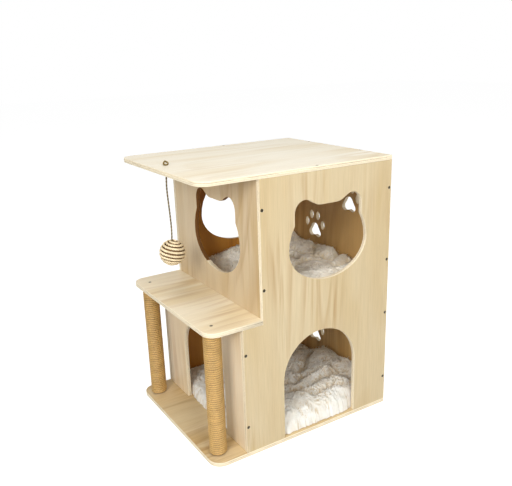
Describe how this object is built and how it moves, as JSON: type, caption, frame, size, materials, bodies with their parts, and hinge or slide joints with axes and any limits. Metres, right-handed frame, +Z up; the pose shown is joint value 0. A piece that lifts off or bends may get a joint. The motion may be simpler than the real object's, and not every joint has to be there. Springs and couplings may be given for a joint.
{
  "type": "two-level cat house",
  "caption": "Plywood cat house with stacked rooms, cat-head windows, arched doors, paw cut-outs, a shelf on rope-wound posts, plush mats and a ball hanging on a cord.",
  "frame": {"origin": "centre of the base panel's underside", "axes": "+Z up, +X along the wide front from the shelf side to the closed side, +Y from the front to the back"},
  "size_m": [0.464, 0.388, 0.6076],
  "materials": {
    "plywood": "sanded birch plywood, clear matt",
    "core_wood": "raw turned wood",
    "sisal": "twisted sisal rope",
    "cream_rope": "soft twisted rope",
    "cord": "thin twisted cord",
    "foam": "dark rigid foam",
    "plush": "fluffy plush",
    "steel": "dark zinc-plated screw"
  },
  "bodies": {
    "house": {"base_panel": "plywood", "shelf_and_floor": "plywood", "top_panel": "plywood", "front_wall": "plywood", "back_wall": "plywood", "upper_left_wall": "plywood", "lower_left_wall": "plywood", "right_wall": "plywood", "front_post_core": "core_wood", "rear_post_core": "core_wood", "front_post_winding": "sisal", "rear_post_winding": "sisal", "top_knot": "cord", "upper_mat": "plush", "lower_mat": "plush", "front_left_screw_1": "steel", "front_left_screw_2": "steel", "front_left_screw_3": "steel", "front_left_screw_4": "steel", "front_right_screw_1": "steel", "front_right_screw_2": "steel", "front_right_screw_3": "steel", "front_right_screw_4": "steel", "back_left_screw_1": "steel", "back_left_screw_2": "steel", "back_left_screw_3": "steel", "back_left_screw_4": "steel", "back_right_screw_1": "steel", "back_right_screw_2": "steel", "back_right_screw_3": "steel", "back_right_screw_4": "steel", "top_front_screw": "steel", "top_back_screw": "steel", "top_right_screw_1": "steel", "top_right_screw_2": "steel", "base_front_screw_1": "steel", "base_front_screw_2": "steel", "base_back_screw_1": "steel", "base_back_screw_2": "steel", "base_right_screw_1": "steel", "base_right_screw_2": "steel", "base_left_screw_1": "steel", "base_left_screw_2": "steel", "floor_screw_1": "steel", "floor_screw_2": "steel", "shelf_front_screw": "steel", "shelf_rear_screw": "steel", "base_front_post_screw": "steel", "base_rear_post_screw": "steel"},
    "cord_bend": {"cord_bend": "cord"},
    "cord": {"hanging_cord": "cord"},
    "ball": {"ball_core": "foam", "ball_winding": "cream_rope"}
  },
  "joints": [
    {"name": "cord_swing_sideways", "type": "hinge", "parent": "house", "child": "cord_bend", "pos_m": [-0.1985, 0.018, 0.5889], "axis": [0, 1, 0], "range_deg": [-15, 60]},
    {"name": "cord_swing_endways", "type": "hinge", "parent": "cord_bend", "child": "cord", "pos_m": [-0.1985, 0.018, 0.5889], "axis": [1, 0, 0], "range_deg": [-60, 60]},
    {"name": "ball_spin", "type": "hinge", "parent": "cord", "child": "ball", "pos_m": [-0.1985, 0.018, 0.411], "axis": [0, 0, 1], "range_deg": [-180, 180]}
  ]
}
